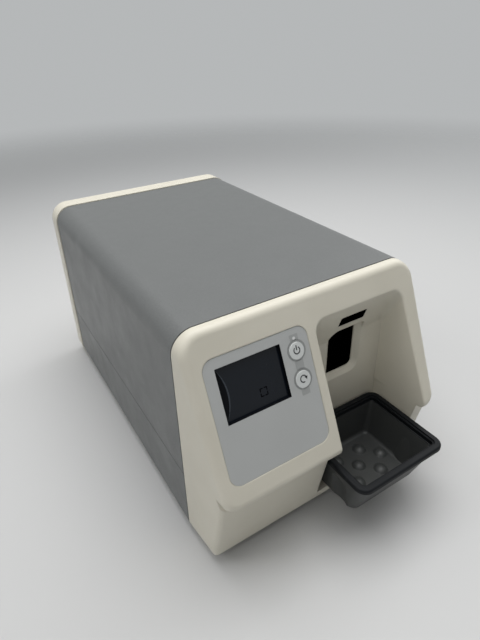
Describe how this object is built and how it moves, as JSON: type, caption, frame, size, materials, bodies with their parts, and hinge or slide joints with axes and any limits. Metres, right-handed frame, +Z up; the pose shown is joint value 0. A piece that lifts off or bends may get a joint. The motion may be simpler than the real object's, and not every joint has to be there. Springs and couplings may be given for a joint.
{
  "type": "phosphor plate scanner",
  "caption": "Desktop scanner for dental phosphor plates, with a raked control panel, a hand recess with a plate opening and a pull-out collecting tray.",
  "frame": {"origin": "middle of the footprint, on the surface that the rubber feet stand on", "axes": "+X to the user's right, -Y towards the user, +Z up"},
  "size_m": [0.2066, 0.3834, 0.1863],
  "materials": {
    "white_shell": "fine satin moulding",
    "grey_cover": "satin grey powder coat",
    "panel_film": "matt printed film",
    "window_tint": "polished dark tint",
    "key_face": "satin",
    "light_pipe": "clear, unlit",
    "black_plastic": "satin black moulding",
    "liner_black": "matt black",
    "dark_rubber": "matt",
    "sheet_steel": "zinc plated",
    "cast_aluminium": "machined casting",
    "ground_steel": "ground",
    "bearing_bronze": "plain",
    "circuit_board": "solder mask",
    "display_glass": "polished",
    "motor_paint": "satin black",
    "optic_glass": "polished",
    "mirror_face": "polished",
    "tube_shield": "matt black shield"
  },
  "bodies": {
    "housing": {"base_chassis": "grey_cover", "top_cover": "grey_cover", "front_bezel": "white_shell", "rear_cap": "white_shell", "keypad_overlay": "panel_film", "display_window": "window_tint", "display_module": "display_glass", "display_board": "circuit_board", "display_screws": "sheet_steel", "key_switches": "black_plastic", "status_light": "light_pipe", "slot_liner": "liner_black", "shutter_pin": "ground_steel", "shutter_spring": "ground_steel", "carriage_bracket": "sheet_steel", "guide_rods": "ground_steel", "screw_bearings": "bearing_bronze", "stepper_motor": "motor_paint", "motor_screws": "sheet_steel", "position_sensor": "black_plastic", "optical_bench": "cast_aluminium", "bench_legs": "sheet_steel", "bench_screws": "sheet_steel", "polygon_motor": "motor_paint", "laser_module": "bearing_bronze", "laser_clamp": "cast_aluminium", "fold_mirror": "mirror_face", "scan_lens": "optic_glass", "lens_mount": "cast_aluminium", "light_guide": "optic_glass", "photomultiplier": "tube_shield", "tube_clamp": "cast_aluminium", "eraser_bracket": "sheet_steel", "eraser_board": "circuit_board", "main_board": "circuit_board", "board_standoffs": "sheet_steel", "board_screws": "sheet_steel", "power_supply": "sheet_steel", "connector_plate": "sheet_steel", "power_inlet": "black_plastic", "switch_housing": "black_plastic", "network_jack": "sheet_steel", "rubber_feet": "dark_rubber", "foot_screws": "sheet_steel", "bezel_screws": "sheet_steel", "rear_screws": "sheet_steel"},
    "collector": {"collector_tray": "black_plastic"},
    "power_button": {"power_key": "key_face"},
    "return_button": {"return_key": "key_face"},
    "shutter": {"shutter_door": "liner_black"},
    "transport_screw": {"lead_screw": "ground_steel", "shaft_coupling": "cast_aluminium", "motor_shaft": "ground_steel"},
    "transport_carriage": {"carriage": "cast_aluminium", "carriage_nut": "bearing_bronze", "plate_holder": "black_plastic"},
    "scanning_polygon": {"polygon_mirror": "mirror_face"},
    "mains_rocker": {"switch_rocker": "black_plastic"}
  },
  "joints": [
    {"name": "collector_slide", "type": "slide", "parent": "housing", "child": "collector", "axis": [0, -1, 0], "range_m": [0, 0.07]},
    {"name": "power_press", "type": "slide", "parent": "housing", "child": "power_button", "axis": [0, 0.9135, -0.4067], "range_m": [0, 0.0008], "stiffness_N_per_m": 500, "springref_m": -0.001},
    {"name": "return_press", "type": "slide", "parent": "housing", "child": "return_button", "axis": [0, 0.9135, -0.4067], "range_m": [0, 0.0008], "stiffness_N_per_m": 500, "springref_m": -0.001},
    {"name": "shutter_swing", "type": "hinge", "parent": "housing", "child": "shutter", "pos_m": [0.0316, -0.09685, 0.1174], "axis": [0, 0, 1], "range_deg": [0, 80], "stiffness_Nm_per_rad": 0.0008, "springref_deg": -20.05},
    {"name": "screw_turn", "type": "hinge", "parent": "housing", "child": "transport_screw", "pos_m": [0.0421, 0.11975, 0.0734], "axis": [0, 1, 0], "range_deg": [0, 3300]},
    {"name": "carriage_travel", "type": "slide", "parent": "housing", "child": "transport_carriage", "axis": [0, 1, 0], "range_m": [0, 0.11]},
    {"name": "polygon_spin", "type": "hinge", "parent": "housing", "child": "scanning_polygon", "pos_m": [-0.059, -0.00225, 0.1174], "axis": [0, 1, 0], "continuous": true},
    {"name": "rocker_tip", "type": "hinge", "parent": "housing", "child": "mains_rocker", "pos_m": [-0.0285, 0.18585, 0.045], "axis": [1, 0, 0], "range_deg": [0, 16]}
  ],
  "couplings": [
    {"joint": "screw_turn", "follows": "carriage_travel", "rad_per_m": 523.6}
  ]
}
